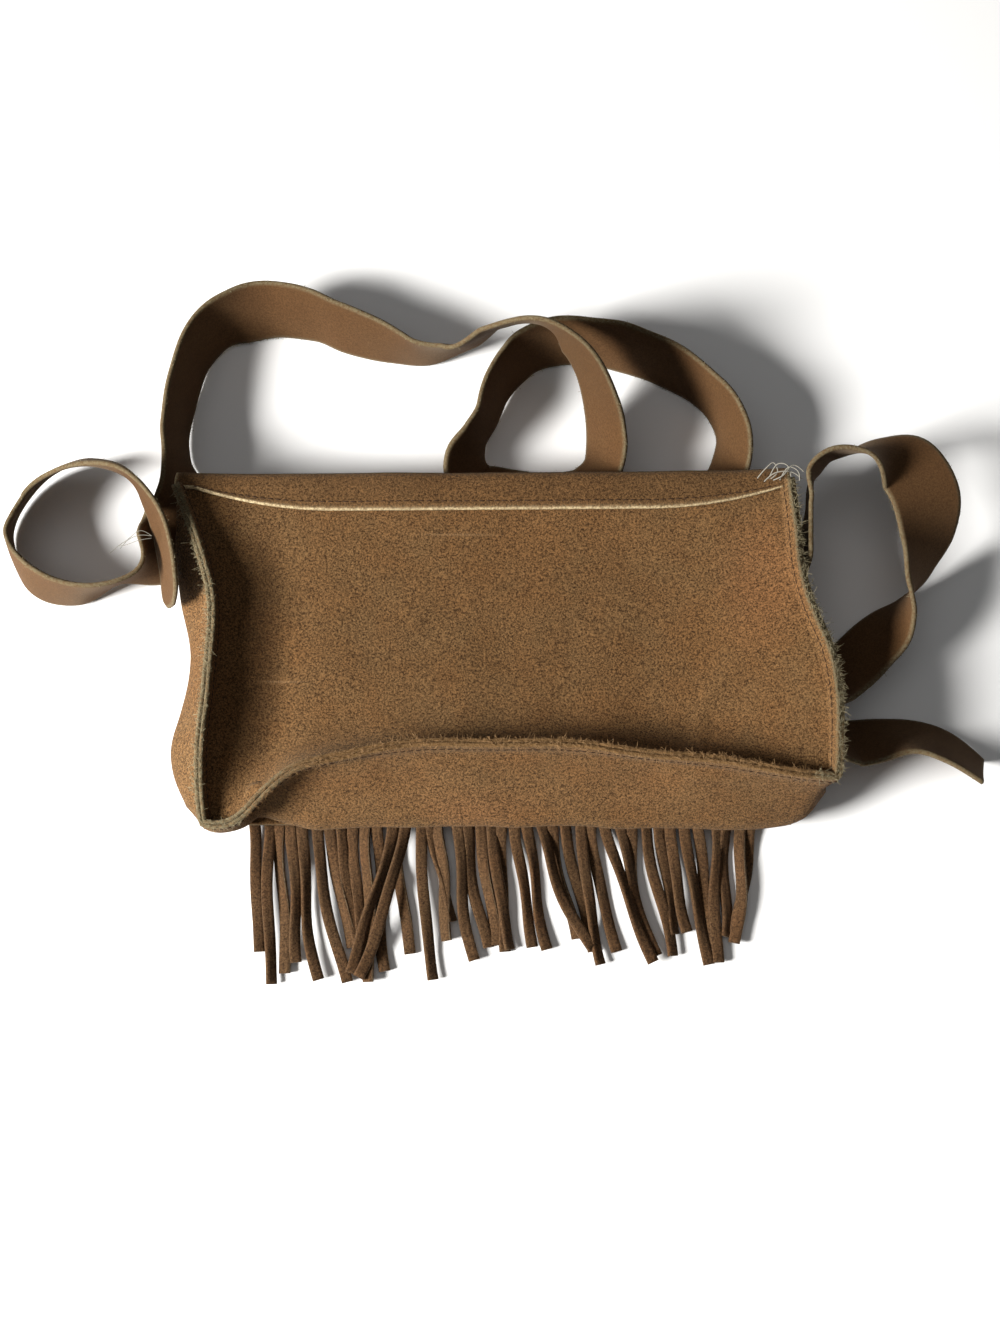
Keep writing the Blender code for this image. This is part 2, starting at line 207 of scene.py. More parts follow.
def surface_normals(points, faces):
    """One normal a point: the sum of the cross products of the quads' diagonals around it."""
    across = points[faces[:, 2]] - points[faces[:, 0]]
    along = points[faces[:, 3]] - points[faces[:, 1]]
    face_normals = np.cross(across, along)
    total = np.zeros_like(points)
    for corner in range(4):
        np.add.at(total, faces[:, corner], face_normals)
    return unit(total)


def ripple(points, size, height, seed):
    """A smooth random unevenness: a sum of a dozen sine waves in random directions, whose lengths
    are about `size` mm, scaled to `height` mm."""
    draw = np.random.default_rng(seed)
    total = np.zeros(points.shape[:-1])
    for _ in range(12):
        direction = unit(draw.normal(size=3))
        wave = 2 * np.pi / (size * draw.uniform(0.7, 1.6))
        total += np.sin(points @ direction * wave + draw.uniform(0, 2 * np.pi))
    return height * total / 3.5


print("a curve of 5 points:", smooth_curve([(0, 0, 0), (1, 1, 0), (2, 0, 0)], 5).round(2).tolist())

# %% [markdown]
# Blender's meshes can be filled from whole arrays, which is far quicker than face by face. One
# function does that for every piece, puts it on the bag's body and gives it its finish. Sheets
# and rods each have a function that works out their closed skins for it.

# %% From arrays to objects


def link_mesh(name, points, kinds, cut, finish):
    """A finished object from points in mm and its faces, one array for each number of corners.
    `cut` has a number for each point."""
    corners = np.concatenate([faces.ravel() for faces in kinds])
    counts = np.concatenate([np.full(len(faces), faces.shape[1]) for faces in kinds])
    mesh = bpy.data.meshes.new(name)
    mesh.vertices.add(len(points))
    mesh.vertices.foreach_set("co", (points * MM).astype(np.float32).ravel())
    mesh.loops.add(len(corners))
    mesh.loops.foreach_set("vertex_index", corners.astype(np.int32))
    mesh.polygons.add(len(counts))
    mesh.polygons.foreach_set("loop_start", (np.cumsum(counts) - counts).astype(np.int32))
    mesh.update(calc_edges=True)
    mesh.shade_smooth()
    mesh.attributes.new("cut", "FLOAT", "POINT").data.foreach_set("value", cut.astype(np.float32))
    mesh.materials.append(finish)
    thing = bpy.data.objects.new(name, mesh)
    bpy.context.collection.objects.link(thing)
    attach(thing, BODY)
    print(f"{name}: {len(points)} points, {len(counts)} faces")
    return thing


RIM_PUSH = 0.25                    # how far a rim stands out, as a share of the thickness


def skin(points, faces, thickness, cut):
    """The closed skin of a sheet. Both faces follow the middle surface at half the thickness, and the
    rim runs through a third line of points pushed out by RIM_PUSH of it."""
    normals = surface_normals(points, faces)
    count = len(points)
    sides = np.concatenate([faces[:, [0, 1]], faces[:, [1, 2]], faces[:, [2, 3]], faces[:, [3, 0]]])
    keys = np.minimum(sides[:, 0], sides[:, 1]) * count + np.maximum(sides[:, 0], sides[:, 1])
    _, first, uses = np.unique(keys, return_index=True, return_counts=True)
    rim = sides[first[uses == 1]]
    outward = np.zeros_like(points)
    leaving = np.cross(points[rim[:, 1]] - points[rim[:, 0]], normals[rim[:, 0]])
    np.add.at(outward, rim[:, 0], unit(leaving))
    np.add.at(outward, rim[:, 1], unit(leaving))
    members = np.unique(rim)
    middle = np.full(count, -1)
    middle[members] = 2 * count + np.arange(len(members))
    half = 0.5 * thickness * normals
    pushed = points[members] + RIM_PUSH * thickness * unit(outward[members])
    skin_points = np.concatenate([points + half, points - half, pushed])
    a, b = rim[:, 0], rim[:, 1]
    upper = np.stack([b, a, middle[a], middle[b]], -1)
    lower = np.stack([middle[b], middle[a], a + count, b + count], -1)
    skin_faces = np.concatenate([faces, faces[:, ::-1] + count, upper, lower])
    skin_cut = np.concatenate([cut, cut, np.where(cut[members] > 0.5, 1.0, 0.0)])
    return skin_points, skin_faces, skin_cut


LEATHER = 2.0                      # the suede's thickness, in mm
EDGE_FADE = 0.55                   # how fast a raw edge's look fades inwards, in mm
FLOOR_CLEAR = 0.02                 # the least height of a sheet's skin over the table


def suede_sheet(name, points, faces, edge_distance, finish, thickness=LEATHER):
    """A sheet of suede. `edge_distance` is how far each point is from a raw edge, in mm, and the
    cut look there is exp(-distance / EDGE_FADE)."""
    cut = np.exp(-np.clip(np.ravel(edge_distance), 0, None) / EDGE_FADE)
    skin_points, skin_faces, skin_cut = skin(points.reshape(-1, 3), faces, thickness, cut)
    skin_points[:, 2] = np.maximum(skin_points[:, 2], cad_box[0][2] / MM + FLOOR_CLEAR)
    return link_mesh(name, skin_points, [skin_faces], skin_cut, finish)


def sweep_many(name, centres, sides, ups, section, section_cut, finish):
    """Many closed rods at once. centres, sides and ups are rods x stations x 3, with the half widths
    already in sides and ups. The section is a ring of (side, up) pairs, and each end is closed by
    one point at its middle."""
    rods, stations, _ = centres.shape
    ring = len(section)
    body = (centres[:, :, None] + sides[:, :, None] * section[None, None, :, 0, None]
            + ups[:, :, None] * section[None, None, :, 1, None])
    caps = centres[:, [0, -1]]
    per_rod = stations * ring + 2
    points = np.concatenate([body.reshape(rods, -1, 3), caps], 1).reshape(-1, 3)
    walls = grid_faces(stations, ring, closed=True)[:, ::-1]
    turn = np.arange(ring)
    after = (turn + 1) % ring
    last = (stations - 1) * ring
    start = np.stack([np.full(ring, stations * ring), turn, after], -1)
    end = np.stack([np.full(ring, stations * ring + 1), last + after, last + turn], -1)
    offsets = (np.arange(rods) * per_rod)[:, None, None]
    quads = (walls[None] + offsets).reshape(-1, 4)
    triangles = (np.concatenate([start, end])[None] + offsets).reshape(-1, 3)
    cut = np.tile(np.concatenate([np.tile(section_cut, stations), np.ones(2)]), rods)
    return link_mesh(name, points, [quads, triangles], cut, finish)


# %% [markdown]
# ## The finish of suede
#
# Suede is a leather's flesh side, brushed up into a short nap. Up close it is a felt of fibres
# with dark pits, so its colour is grainy at about a millimetre, cloudy over a few centimetres,
# and it has no gloss, only a soft sheen at grazing angles. One node group makes the grain and
# the clouds for every suede in the bag, and each material mixes its own colours with them.

# %% Node helpers and the nap group


def add_node(tree, kind, **settings):
    """A node of that kind, with its settings and, by socket name, its constant inputs."""
    node = tree.nodes.new(kind)
    for key, value in settings.pop("inputs", {}).items():
        node.inputs[key].default_value = value
    for key, value in settings.items():
        setattr(node, key, value)
    return node


def noise(tree, vector, scale, detail, roughness):
    """Noise of that many features a metre, from that vector."""
    node = add_node(tree, "ShaderNodeTexNoise",
                    inputs={"Scale": scale, "Detail": detail, "Roughness": roughness})
    tree.links.new(vector, node.inputs["Vector"])
    return node.outputs["Fac"]


def spread(tree, value, low, high, to_low=0.0, to_high=1.0):
    """Stretches a range of a value onto another, clamped."""
    node = add_node(tree, "ShaderNodeMapRange", inputs={
        "From Min": low, "From Max": high, "To Min": to_low, "To Max": to_high})
    tree.links.new(value, node.inputs["Value"])
    return node.outputs["Result"]


def combine(tree, operation, a, b):
    """One sum, product or other step on two values, either of which may be a plain number."""
    node = add_node(tree, "ShaderNodeMath", operation=operation)
    for slot, value in enumerate((a, b)):
        if isinstance(value, (int, float)):
            node.inputs[slot].default_value = value
        else:
            tree.links.new(value, node.inputs[slot])
    return node.outputs["Value"]


def blend_colours(tree, share, a, b):
    """A mixed with B by a share. Colours may be plain."""
    node = add_node(tree, "ShaderNodeMix", data_type="RGBA", blend_type="MIX")
    for slot, value in ((0, share), (6, a), (7, b)):
        if isinstance(value, (int, float, tuple)):
            node.inputs[slot].default_value = value
        else:
            tree.links.new(value, node.inputs[slot])
    return node.outputs[2]


def weigh(tree, a, share_a, b, share_b):
    """share_a A + share_b B."""
    return combine(tree, "ADD", combine(tree, "MULTIPLY", a, share_a),
                   combine(tree, "MULTIPLY", b, share_b))


def build_nap_group():
    """The nap: `grain` is the millimetre mottle, `clouds` the broad one, and `height` the bump."""
    group = bpy.data.node_groups.new("suede_nap", "ShaderNodeTree")
    group.interface.new_socket("vector", in_out="INPUT", socket_type="NodeSocketVector")
    for key in ("grain", "clouds", "height"):
        group.interface.new_socket(key, in_out="OUTPUT", socket_type="NodeSocketFloat")
    ends_in = group.nodes.new("NodeGroupInput")
    ends_out = group.nodes.new("NodeGroupOutput")
    vector = ends_in.outputs["vector"]
    fibres = noise(group, vector, 2300.0, 3.0, 0.7)
    tufts = noise(group, vector, 1050.0, 3.0, 0.7)
    patches = noise(group, vector, 75.0, 3.0, 0.6)
    broad = noise(group, vector, 19.0, 2.0, 0.5)
    mottle = weigh(group, fibres, 0.45, tufts, 0.55)
    grain = spread(group, mottle, 0.41, 0.59)
    clouds = spread(group, weigh(group, patches, 0.45, broad, 0.55), 0.38, 0.62)
    for key, value in (("grain", grain), ("clouds", clouds), ("height", mottle)):
        group.links.new(value, ends_out.inputs[key])
    return group


nap_group = build_nap_group()
print("nap group outputs:", [s.name for s in nap_group.nodes["Group Output"].inputs if s.name])

# %% [markdown]
# Each suede takes four colours: the pit between the tufts, the tuft, a warmer one for the clouds
# where the nap lies the other way, and the pale fuzz of a cut edge. The fuzz is streaky, because
# a knife leaves bundles of fibre there, so the edge colour is broken up by a finer noise.

# %% Suede materials


def rgb(red, green, blue):
    """A colour as Blender's nodes want it, from 0-255 display values."""
    shown = np.array([red, green, blue]) / 255.0
    linear = np.where(shown <= 0.04045, shown / 12.92, ((shown + 0.055) / 1.055) ** 2.4)
    return (*[float(v) for v in linear], 1.0)


def patch_mask(tree, place, middle, size, core=0.35):
    """1 at a place on the bag, out to `core` of an ellipsoid of that size in mm, and fading to 0
    at its surface."""
    node = add_node(tree, "ShaderNodeMapping", vector_type="TEXTURE", inputs={
        "Location": [v * MM for v in middle], "Scale": [v * MM for v in size]})
    tree.links.new(place, node.inputs["Vector"])
    length = add_node(tree, "ShaderNodeVectorMath", operation="LENGTH")
    tree.links.new(node.outputs["Vector"], length.inputs[0])
    return spread(tree, length.outputs["Value"], core, 1.0, 1.0, 0.0)


# Painted light and shade, mixed into the colour: where, how wide each way, the colour there and how much
# of it.
# A painted highlight on the panel's right slope, which faces the window.
PAINTED_LIGHT_AND_SHADE = [((124, 40, 30), (26, 42, 60), rgb(140, 96, 60), 0.5),
        # Two patches of painted light low on the bottom wall, which faces the near side.
        ((-10, -68, 20), (34, 12, 22), rgb(146, 100, 62), 0.5),
        ((20, -62, 30), (150, 12, 10), rgb(130, 98, 64), 0.35),
        # Painted shade down the left side of the panel, beside the left seam.
        ((-112, 10, 25), (11, 90, 40), rgb(74, 50, 28), 0.4)]
# Scratches: the middle, the half length each way in mm and how strong.
SCRATCHES = [((-54, -10, 25), (6.5, 0.8, 9), 0.75), ((-103, -10, 27), (17, 0.8, 12), 0.4),
             ((-20, 62, 30), (26, 0.9, 12), 0.22)]
SCRATCH_TONE = rgb(176, 142, 104)
HANDLED_TONE = rgb(112, 86, 54)    # the raw edge along the bottom seam, browned by handling


SURFACE = {"Roughness": 0.95, "Specular IOR Level": 0.12, "Sheen Weight": 0.08,
           "Sheen Roughness": 0.45, "Sheen Tint": (0.9, 0.75, 0.55, 1.0)}


def suede(name, pit, tuft, warm, fuzz, bump, edge_share=1.0, painted_light_and_wear=False):
    """A suede from its four colours. The `cut` attribute says where the raw edges are."""
    material = new_material(name, SURFACE)
    tree = material.node_tree
    shader = tree.nodes["Principled BSDF"]
    place = tree.nodes.new("ShaderNodeTexCoord").outputs["Object"]
    nap = add_node(tree, "ShaderNodeGroup", node_tree=nap_group)
    tree.links.new(place, nap.inputs["vector"])
    body = blend_colours(tree, nap.outputs["grain"], pit, tuft)
    warmth = combine(tree, "MULTIPLY", nap.outputs["clouds"], 0.5)
    body = blend_colours(tree, warmth, body, blend_colours(tree, nap.outputs["grain"], pit, warm))
    # Painted highlight, painted light and painted shade patches, mixed into the colour; the scratches and
    # the browned edge below are real wear.
    for middle, size, tone, amount in PAINTED_LIGHT_AND_SHADE if painted_light_and_wear else ():
        share = combine(tree, "MULTIPLY", patch_mask(tree, place, middle, size), amount)
        body = blend_colours(tree, share, body, blend_colours(tree, nap.outputs["grain"], pit, tone))
    for middle, size, amount in SCRATCHES if painted_light_and_wear else ():
        share = combine(tree, "MULTIPLY", patch_mask(tree, place, middle, size, 0.0), amount)
        body = blend_colours(tree, share, body, SCRATCH_TONE)
    edge = add_node(tree, "ShaderNodeAttribute", attribute_name="cut").outputs["Fac"]
    streaks = spread(tree, noise(tree, place, 900.0, 3.0, 0.7), 0.38, 0.62, 0.25, 1.0)
    share = combine(tree, "MULTIPLY", combine(tree, "MULTIPLY", edge, streaks), edge_share)
    if painted_light_and_wear:
        handled = spread(tree, patch_mask(tree, place, (30, -45, 40), (140, 40, 60)), 0.0, 0.3)
        fuzz = blend_colours(tree, handled, fuzz, HANDLED_TONE)
    colour = blend_colours(tree, share, body, fuzz)
    tree.links.new(colour, shader.inputs["Base Color"])
    relief = add_node(tree, "ShaderNodeBump", inputs={"Strength": bump, "Distance": 0.0011})
    tree.links.new(nap.outputs["height"], relief.inputs["Height"])
    tree.links.new(relief.outputs["Normal"], shader.inputs["Normal"])
    return material


EDGE_GREY = rgb(104, 96, 74)
body_suede = suede("body_suede", rgb(44, 28, 13), rgb(124, 94, 60), rgb(128, 88, 50),
                   EDGE_GREY, 0.8, painted_light_and_wear=True)
strap_suede = suede("strap_suede", rgb(66, 45, 25), rgb(86, 61, 36), rgb(80, 53, 30), EDGE_GREY, 0.25, 0.8)
fringe_suede = suede("fringe_suede", rgb(44, 30, 18), rgb(92, 69, 46), rgb(98, 66, 40),
                     rgb(176, 154, 124), 0.6, 0.75)
flap_suede = suede("flap_suede", rgb(46, 30, 14), rgb(112, 83, 52), rgb(116, 82, 48),
                   rgb(206, 186, 146), 0.8)
print("materials:", [m.name for m in bpy.data.materials])

# %% [markdown]
# ## The back panel
#
# The big panel that looks up is stitched to the gusset on three sides and hangs between the
# stitches like a shallow tray. It is a patch between its four border lines, lowered by a sag
# that has its own profile at each side: steep at the left and at the bottom, where the seams
# stand over it, and a long easy slope at the right. Past the stitches the raw margin stands up.

# %% Seam lines
FLANGE = 7.0                 # how far the raw margin stands past the stitches
SEAM_GAP = 0.2               # the two raw edges are pressed together
ACROSS, UP = 241, 131        # points along the bottom seam and along each side seam
SEAM_LEFT = [(-151, 84, 41), (-142, 64, 42), (-136, 45, 43), (-131, 25, 44), (-130, 9, 44),
             (-131.5, -14, 44), (-134, -42, 43), (-132, -71, 38)]
SEAM_BOTTOM = [(-132, -71, 38), (-121, -71, 39), (-107, -61, 42), (-93, -52, 44.5), (-66, -46, 45),
               (-41, -43.5, 45), (0, -42.5, 45), (45, -44, 45), (90, -49, 45), (132, -55, 45),
               (150, -57, 44)]
SEAM_RIGHT = [(150, -57, 44), (151, -40, 44), (151, -22, 44), (148, 1, 44), (140, 25, 43),
              (136, 44, 42), (135, 64, 42), (134, 86, 41)]


def slump(points):
    """Lets the lower left corner, and the seams that meet there, down towards the table."""
    corner = np.exp(-(np.linalg.norm(points[..., :2] - [-132, -71], axis=-1) / 20) ** 2)
    return points + corner[..., None] * [-1.0, -4.5, -6.0]


def mitred(line):
    """Square out from a line that runs round the bag, seen from above, and longer at a corner, so
    that a line moved out by it keeps its distance."""
    across = np.diff(line, axis=0)
    across = unit(np.stack([across[:, 1], -across[:, 0], 0 * across[:, 0]], 1))
    across = np.concatenate([across[:1], across, across[-1:]])
    before, after = across[:-1], across[1:]
    return (before + after) / (1 + (before * after).sum(1))[:, None]


def soften(values, times):
    """A running mean of three, repeated, with the ends kept."""
    for _ in range(times):
        values[1:-1] = (values[:-2] + values[1:-1] + values[2:]) / 3
    return values


def seam_run():
    """The back seam in one run: its stitch line, which way is out, and which way the margin stands."""
    left, bottom = smooth_curve(SEAM_LEFT, UP), smooth_curve(SEAM_BOTTOM, ACROSS)
    right = smooth_curve(SEAM_RIGHT, UP)
    line = slump(np.concatenate([left, bottom[1:], right[1:]]))
    out = mitred(line)
    tilt = np.where(out[:, 0] > 0, 0.62, 0.36) * np.abs(out[:, 0]) - 0.25 * np.clip(-out[:, 1], 0, 1)
    stand = soften(out * tilt[:, None] + [0.0, 0.0, 1.0], 200)
    place = np.arange(len(line))
    sway = 0.1 * np.sin(place * 0.11)[:, None], 0.07 * np.sin(place * 0.043 + 1)[:, None]
    stand[:, :2] += sway[0] * out[:, :2] + sway[1] * out[:, :2]
    return line, soften(out.copy(), 4), unit(stand)


seam_line, seam_out, seam_stand = seam_run()
print("back seam:", round(float(np.linalg.norm(np.diff(seam_line, axis=0), axis=1).sum())), "mm long")

# %% [markdown]
# Between its stitches the panel is one patch, so that every border follows its seam exactly and
# the sag can't open a gap there. Ripples and a crease are added to the patch's height.

# %% Back panel
SAG = 19.0                   # how deep the middle hangs, in mm
MARGIN_ROWS = 6


def ease(value, power=2.2):
    """0 at 0, 1 from 1 on, and rising fast at first."""
    return 1 - (1 - np.clip(value, 0, 1)) ** power


def hollow(points, place, radius, depth):
    """A round dent of that radius and depth at that place, as a Gaussian, in mm."""
    away = np.linalg.norm(points - np.asarray(place, float), axis=-1) / radius
    return depth * np.exp(-away**2)


def back_panel_middle():
    """The panel inside its stitches. The patch is ruled between the left and right lines, plus ruled
    between bottom and top, less the bilinear one, and the sag is a product of the sides' profiles."""
    left, right = slump(smooth_curve(SEAM_LEFT, UP))[::-1], smooth_curve(SEAM_RIGHT, UP)
    bottom = slump(smooth_curve(SEAM_BOTTOM, ACROSS))
    top = np.linspace(left[-1], right[-1], ACROSS)
    u = np.linspace(0, 1, ACROSS)[None, :, None]
    v = np.linspace(0, 1, UP)[:, None, None]
    corners = ((1 - u) * (1 - v) * left[0] + u * (1 - v) * right[0]
               + (1 - u) * v * left[-1] + u * v * right[-1])
    patch = (1 - u) * left[:, None] + u * right[:, None] + (1 - v) * bottom + v * top - corners
    u, v = u[..., 0], v[..., 0]
    sides = ease(u / 0.15, 2.3) * ease((1 - u) / 0.3, 2.0)
    ends = ease(v / 0.2, 2.4) * (1 - v**3.2)
    patch[..., 2] -= SAG * sides * ends + 4.0 * (1 - np.abs(2 * u - 1) ** 6) * v**3.2
    inner = ease(u / 0.1) * ease((1 - u) / 0.1) * ease(v / 0.1) * ease((1 - v) / 0.1)
    patch[..., 2] += inner * (ripple(patch, 90, 0.9, 3) + ripple(patch, 28, 0.22, 4))
    crease = np.abs(np.hypot(patch[..., 0] - 140, patch[..., 1] + 40) - 48)
    patch[..., 2] += inner * 0.7 * np.exp(-(crease / 4) ** 2)
    return patch


def back_panel():
    """The patch with its margin: rows of points from the stitches out to the raw edge."""
    patch = back_panel_middle()
    index = np.arange(UP * ACROSS).reshape(UP, ACROSS)
    border = np.concatenate([index[::-1, 0], index[0, 1:], index[1:, -1]])
    rows = [border]
    points, faces = [patch.reshape(-1, 3)], [grid_faces(UP, ACROSS)]
    steps = MARGIN_ROWS
    for step in range(1, steps + 1):
        rows.append(index.size + (step - 1) * len(border) + np.arange(len(border)))
        points.append(seam_line + FLANGE * step / steps * seam_stand)
        a, b = rows[-2], rows[-1]
        faces.append(np.stack([a[:-1], b[:-1], b[1:], a[1:]], -1))
    distance = [np.full(index.size, 99.0)]
    distance += [np.full(len(border), FLANGE * (1 - step / steps)) for step in range(1, steps + 1)]
    points, faces = np.concatenate(points), np.concatenate(faces)
    distance = np.concatenate(distance)
    return suede_sheet("back_panel_suede", points, faces, distance, body_suede)


back = back_panel()
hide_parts("back_panel")

# %% [markdown]
# ## The gusset
#
# One strip goes down the left side, along the bottom and up the right side. Across its width it
# is first the outer half of the raw seam, then the wall of the bag, then the lower margin. The
# wall swells at the left and along the bottom and is drawn in at the right, where the bag has
# slumped, and near the lower left corner it is pushed in to a deep dimple.

# %% Gusset
FRONT_LEFT = [(-148, 46), (-149, 28), (-143, 0), (-151, -46), (-146, -63)]
FRONT_BOTTOM = [(-138, -70), (0, -70), (137, -70)]
FRONT_RIGHT = [(144, -63), (139, -40), (136, 0), (134, 46)]
FRONT_Z = 7.2
# How far the wall's foot swells out over the margin below it, at places along the strip.
OVERHANG_AT = (0.0, 0.2, 0.265, 0.33, 0.66, 0.73, 0.8, 1.0)
OVERHANG = (4.0, 5.0, 0.0, 9.0, 9.0, 7.0, 3.0, 3.0)
TRIMMED = 3.5                # what is left of that margin, which is cut narrow where it can't be seen
BULGE_AT = (0.0, 0.15, 0.3, 0.66, 0.74, 0.82, 1.0)
BULGE = (4.0, 4.0, 2.5, 2.0, 1.0, -8.0, -8.0)


def flat_line(outline, count):
    """A smooth line through points on the front panel's level."""
    return smooth_curve([(x, y, FRONT_Z) for x, y in outline], count)


def front_run():
    """The front seam's stitch line, with a point for each point of the back seam."""
    return np.concatenate([flat_line(FRONT_LEFT, UP - 4), flat_line(FRONT_BOTTOM, ACROSS + 6),
                           flat_line(FRONT_RIGHT, UP - 4)])


def gusset():
    """Control rows across the strip at every point of the seams, joined by a smooth curve."""
    away = unit(seam_out - (seam_out * seam_stand).sum(1)[:, None] * seam_stand)
    away *= np.linalg.norm(seam_out, axis=1)[:, None]
    clear = LEATHER + SEAM_GAP
    top = seam_line + away * clear
    low = front_run() + [0, 0, clear]
    place = np.linspace(0, 1, len(top))
    bulge = soften(np.interp(place, BULGE_AT, BULGE), 60)
    overhang = soften(np.interp(place, OVERHANG_AT, OVERHANG), 60)
    rows = [top + FLANGE * seam_stand, top + 0.45 * FLANGE * seam_stand, top]
    for t in (0.15, 0.32, 0.5, 0.68, 0.85):
        swell = bulge * np.sin(np.pi * t) + overhang * np.sin(np.pi * t**2.2)
        rows.append((1 - t) * top + t * low + seam_out * swell[:, None])
    low_out = soften(mitred(low), 40)
    rows += [low + low_out * 0.5 + [0, 0, 0.8], low + low_out * 1.5, low + low_out * TRIMMED]
    control = np.stack(rows)
    knots = np.array([0, 4, 8, 16, 26, 36, 46, 56, 62, 65, 71], float)
    fine = np.arange(72)
    spans = np.clip(np.searchsorted(knots, fine, side="right") - 1, 0, len(knots) - 2)
    slopes = np.gradient(control, knots, axis=0)
    w = ((fine - knots[spans]) / np.diff(knots)[spans])[:, None, None]
    h = np.diff(knots)[spans][:, None, None]
    grid = hermite(w, control[spans], control[spans + 1], h * slopes[spans], h * slopes[spans + 1])
    wall = np.clip((fine - 8) / 8, 0, 1)[:, None] * np.clip((62 - fine) / 6, 0, 1)[:, None]
    push = wall * (ripple(grid, 55, 0.9, 11) + ripple(grid, 20, 0.2, 12))
    push -= wall * hollow(grid[..., :2], (-109, -66), 9, 11)
    grid += push[..., None] * unit(seam_out)[None]
    distance = fine[:, None] * 0.9 + 0 * grid[..., 0]
    faces = grid_faces(*grid.shape[:2])
    return suede_sheet("gusset_suede", grid, faces, distance, body_suede)


side = gusset()
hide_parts("gusset")

# %% [markdown]
# ## The front panel
#
# It lies hidden under the bag, flat on the flap, and shows only its cut margin at the sides.

# %% Front panel
FRONT_MARGIN = 6.0           # past the side seams
FRONT_TOP = FRONT_LEFT[0][1]


def front_panel():
    """Ruled between the left and right front seams, with the margin added."""
    rows, columns = 80, 120
    left, right = flat_line(FRONT_LEFT, rows)[::-1], flat_line(FRONT_RIGHT, rows)
    u = np.linspace(0, 1, columns)[None, :, None]
    reach = [-FRONT_MARGIN, 0, 0]
    grid = (1 - u) * (left[:, None] - reach) + u * (right[:, None] + reach)
    bottom = FRONT_BOTTOM[0][1] - TRIMMED
    grid[..., 1] = np.interp(np.linspace(0, 1, rows), [0, 0.1, 1], [bottom, -60, FRONT_TOP])[:, None]
    across = np.minimum(u[..., 0], 1 - u[..., 0]) * 300
    up = grid[..., 1] - bottom
    distance = np.minimum(across + 0 * up, np.minimum(up, FRONT_TOP - grid[..., 1]))
    faces = grid_faces(rows, columns)
    return suede_sheet("front_panel_suede", grid, faces, distance, body_suede)


front = front_panel()
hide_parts("front_panel")

# %% [markdown]
# ## The flap
#
# The flap is sewn on the outside of the back panel, goes over the bag's top edge and runs down
# the front. Its profile from the sewn edge is a flat run, a tight fold, a slope that caves in
# under the edge, and the long flat part that the bag lies on.

# %% Flap
FLAP_DEPTH = 12.0
HEM_Y = -58.0
FLAP_PROFILE = [(0, 0), (6, 0.4), (12, 0.6), (16.5, -0.4), (18.4, -3.6), (16, -7.5), (9, -11.5),
                (1, -15.5), (-7, -20.5), (-14, -27.5), (-20, -33), (-28, -36.5)]
FLAP_COLUMNS = 241
COLUMN_STEP = 1.15           # between the flap's columns, in mm
FOLD_ROWS, FLAT_ROWS = 90, 60
FOLD_DROP = -FLAP_PROFILE[-1][1]
NARROWING = 0.17             # how much narrower the hem is than the top


def flap_surface():
    """The profile carried along the panel's top edge, in mm: y along the profile and z scaled so
    that the flat part lies on the table, then straight rows to the hem, narrowing by a sixth."""
    top = back_panel_middle()[-1]
    u = np.linspace(-0.012, 1.012, FLAP_COLUMNS)
    even = np.linspace(0, 1, ACROSS)
    line = np.stack([np.interp(u, even, top[:, axis]) for axis in range(3)], 1)
    line[:, 0] += (u - np.clip(u, 0, 1)) * (line[-1, 0] - line[0, 0])
    profile = smooth_curve([(y, drop, 0) for y, drop in FLAP_PROFILE], FOLD_ROWS)[:, :2]
    side = np.clip((np.abs(u - 0.52) - 0.26) / 0.24, 0, 1) ** 2
    rest = LEATHER / 2
    height = line[:, 2] + LEATHER + 0.5
    along = np.linspace(0, 1, FOLD_ROWS)[:, None]
    folded = np.repeat(line[None], FOLD_ROWS, 0)
    folded[..., 1] += profile[:, :1] - FLAP_DEPTH + 10.5 * side * np.clip(1 - along / 0.16, 0, 1)
    folded[..., 2] = rest + (height - rest) * (1 + profile[:, 1:] / FOLD_DROP)
    wave = np.clip(along / 0.06, 0, 1) * np.clip((0.8 - along) / 0.3, 0, 1)
    folded[..., 2] += wave * ripple(folded, 60, 0.7, 21)
    t = np.linspace(0, 1, FLAT_ROWS + 1)[1:, None]
    flat = np.repeat(folded[-1:], FLAT_ROWS, 0)
    flat[..., 0] *= 1 - NARROWING * t
    flat[..., 1] = (1 - t) * folded[-1, :, 1] + t * HEM_Y
    return np.concatenate([folded, flat])[::-1]


def flap():
    """The surface as a sheet, with its distance from the cut edges."""
    grid = flap_surface()
    length = lengths_along(grid[:, FLAP_COLUMNS // 2])
    edge = np.minimum(length, length[-1] - length)[:, None]
    ends = np.minimum(np.arange(FLAP_COLUMNS), np.arange(FLAP_COLUMNS)[::-1])[None] * COLUMN_STEP
    distance = np.minimum(edge + 0 * ends, ends + 0 * edge)
    faces = grid_faces(*grid.shape[:2])
    return suede_sheet("flap_suede", grid, faces, distance, flap_suede)


cover = flap()
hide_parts("flap")

# %% [markdown]
# ## The fringe
#
# A strip of suede is cut into strands to just below its seam. Cut strands are nearly as thick as
# they are wide, so they twist and cross. Each one is a swept rectangle with soft corners that
# leaves the strip side by side with its neighbours and ends where its own tip lies.

# %% Fringe
ROOT_Y = -61.0
